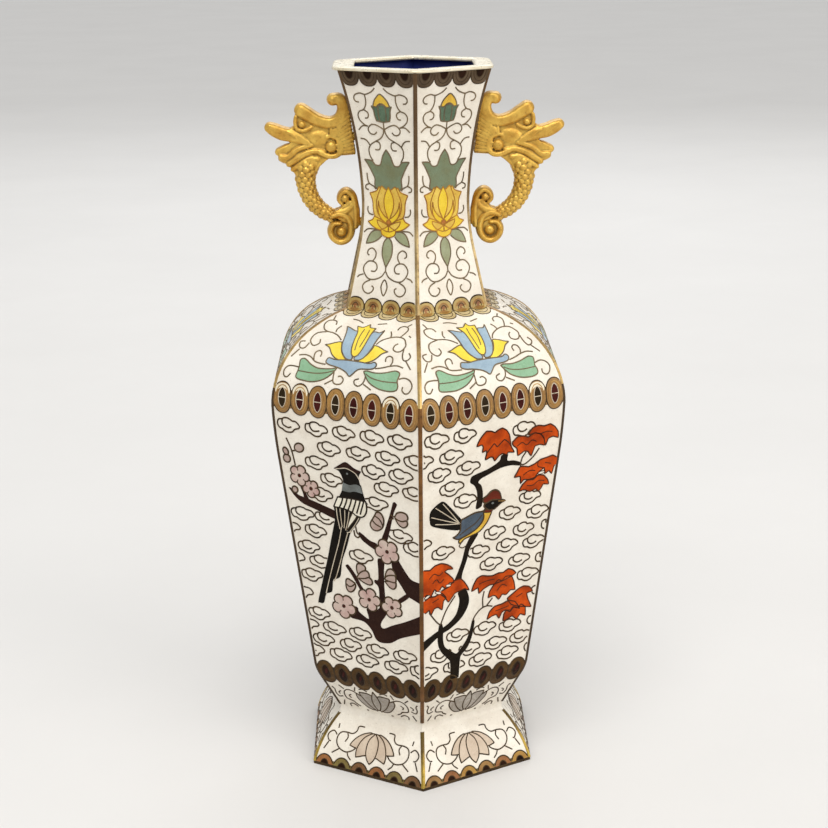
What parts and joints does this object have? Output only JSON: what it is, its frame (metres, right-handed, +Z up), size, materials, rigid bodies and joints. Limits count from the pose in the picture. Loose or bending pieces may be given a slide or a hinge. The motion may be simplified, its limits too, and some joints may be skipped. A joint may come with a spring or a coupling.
{
  "type": "cloisonne vase",
  "caption": "Hexagonal baluster vase in white cloisonne enamel with brass corner strips, fret bands, a flared foot and gilt dragon handles.",
  "frame": {"origin": "centre of the ring that the vase stands on, at the level of the surface under it", "axes": "+Z up through the mouth, handles along +X and -X, a corner of the hexagon along -Y"},
  "size_m": [0.1046, 0.1176, 0.254],
  "materials": {
    "copper_sheet": "copper sheet, brazed at the corners",
    "counter_enamel": "glossy cobalt-blue counter-enamel",
    "white_enamel": "polished warm white opaque enamel with enamel pictures in brass wire",
    "fret_enamel": "brown and gold enamel frets between brass wires",
    "aged_brass": "aged brass strip, darkened at the edges",
    "rim_brass": "pale polished brass",
    "gilt_casting": "matte fire-gilt casting with darkened recesses"
  },
  "bodies": {
    "root": {"neck_shell": "copper_sheet", "shoulder_shell": "copper_sheet", "body_shell": "copper_sheet", "underbody_shell": "copper_sheet", "foot_shell": "copper_sheet", "base_plate": "copper_sheet", "neck_lining": "counter_enamel", "shoulder_lining": "counter_enamel", "body_lining": "counter_enamel", "underbody_lining": "counter_enamel", "foot_lining": "counter_enamel", "base_enamel": "counter_enamel", "floor_enamel": "counter_enamel", "neck_enamel": "white_enamel", "shoulder_enamel": "white_enamel", "body_enamel": "white_enamel", "underbody_enamel": "white_enamel", "waist_enamel": "white_enamel", "foot_enamel": "white_enamel", "mouth_band": "fret_enamel", "collar_band": "fret_enamel", "belt_band": "fret_enamel", "girdle_band": "fret_enamel", "foot_band": "fret_enamel", "neck_strips": "aged_brass", "shoulder_strips": "aged_brass", "body_strips": "aged_brass", "underbody_strips": "aged_brass", "foot_strips": "aged_brass", "mouth_rim": "rim_brass", "foot_rim": "rim_brass", "dragon_handle_right": "gilt_casting", "dragon_handle_left": "gilt_casting", "upper_peg_right": "gilt_casting", "upper_peg_left": "gilt_casting", "lower_peg_right": "gilt_casting", "lower_peg_left": "gilt_casting"}
  },
  "joints": []
}
